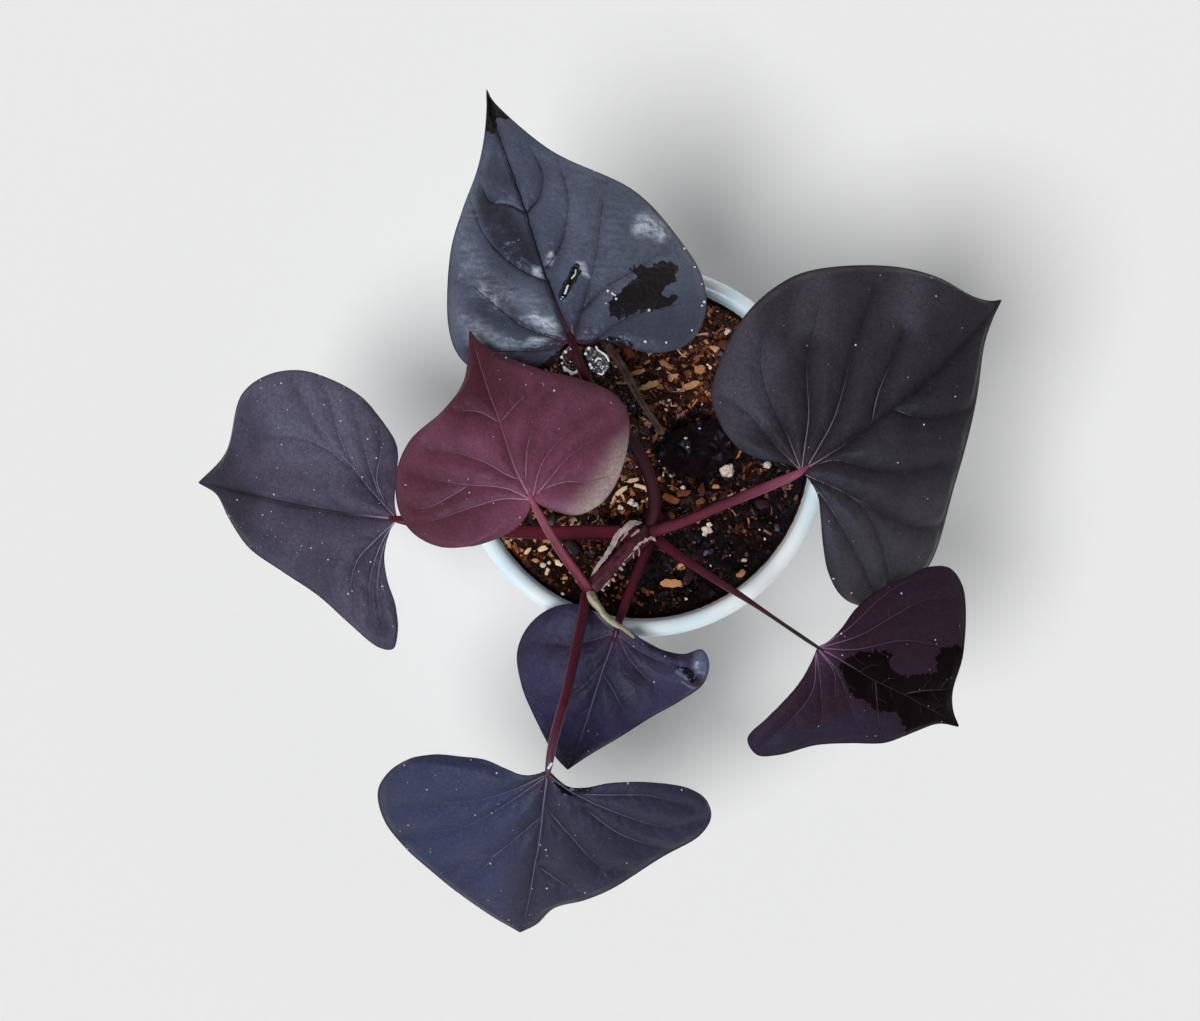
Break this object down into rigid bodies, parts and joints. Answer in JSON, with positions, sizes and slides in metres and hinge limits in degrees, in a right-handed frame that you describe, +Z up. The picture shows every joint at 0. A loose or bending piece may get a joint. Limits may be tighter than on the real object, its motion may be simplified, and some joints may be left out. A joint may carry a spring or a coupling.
{
  "type": "potted sweet potato vine",
  "caption": "Young dark-leaved sweet potato vine with heart-shaped leaves on arching petioles, growing in a small round tapered plastic pot.",
  "frame": {"origin": "centre of the pot's flat underside, where the pot stands", "axes": "+Z up through the pot's axis, +X and +Y across the pot; the largest leaf reaches towards +Y"},
  "size_m": [0.2363, 0.2509, 0.142],
  "materials": {
    "pot_plastic": "moulded white plastic with a faint blue cast, soft gloss",
    "potting_mix": "damp dark composted bark with pale chips, matt",
    "stem": "purple-brown skin of a vine stem, satin",
    "petiole": "smooth crimson leaf stalk, satin",
    "leaf_dark": "blue-black to purple leaf skin, satin with wet spots",
    "leaf_young": "maroon young leaf skin, satin",
    "shoot": "pale yellow-green shoot, satin",
    "bark": "dry grey peeling bark, matt",
    "wilted": "collapsed wet dead leaf, dark and shiny",
    "dead_stalk": "dry brown grooved stalk, matt"
  },
  "bodies": {
    "root": {"pot": "pot_plastic", "potting_mix": "potting_mix", "main_stem": "stem", "petiole_back": "petiole", "petiole_right": "petiole", "petiole_left": "petiole", "petiole_young": "petiole", "petiole_small": "petiole", "petiole_front": "petiole", "petiole_wet": "petiole", "leaf_back": "leaf_dark", "leaf_right": "leaf_dark", "leaf_left": "leaf_dark", "leaf_young": "leaf_young", "leaf_small": "leaf_dark", "leaf_front": "leaf_dark", "leaf_wet": "leaf_dark", "young_shoot": "shoot", "bark_strip": "bark", "wilted_leaf": "wilted", "dead_petiole": "dead_stalk"}
  },
  "joints": []
}
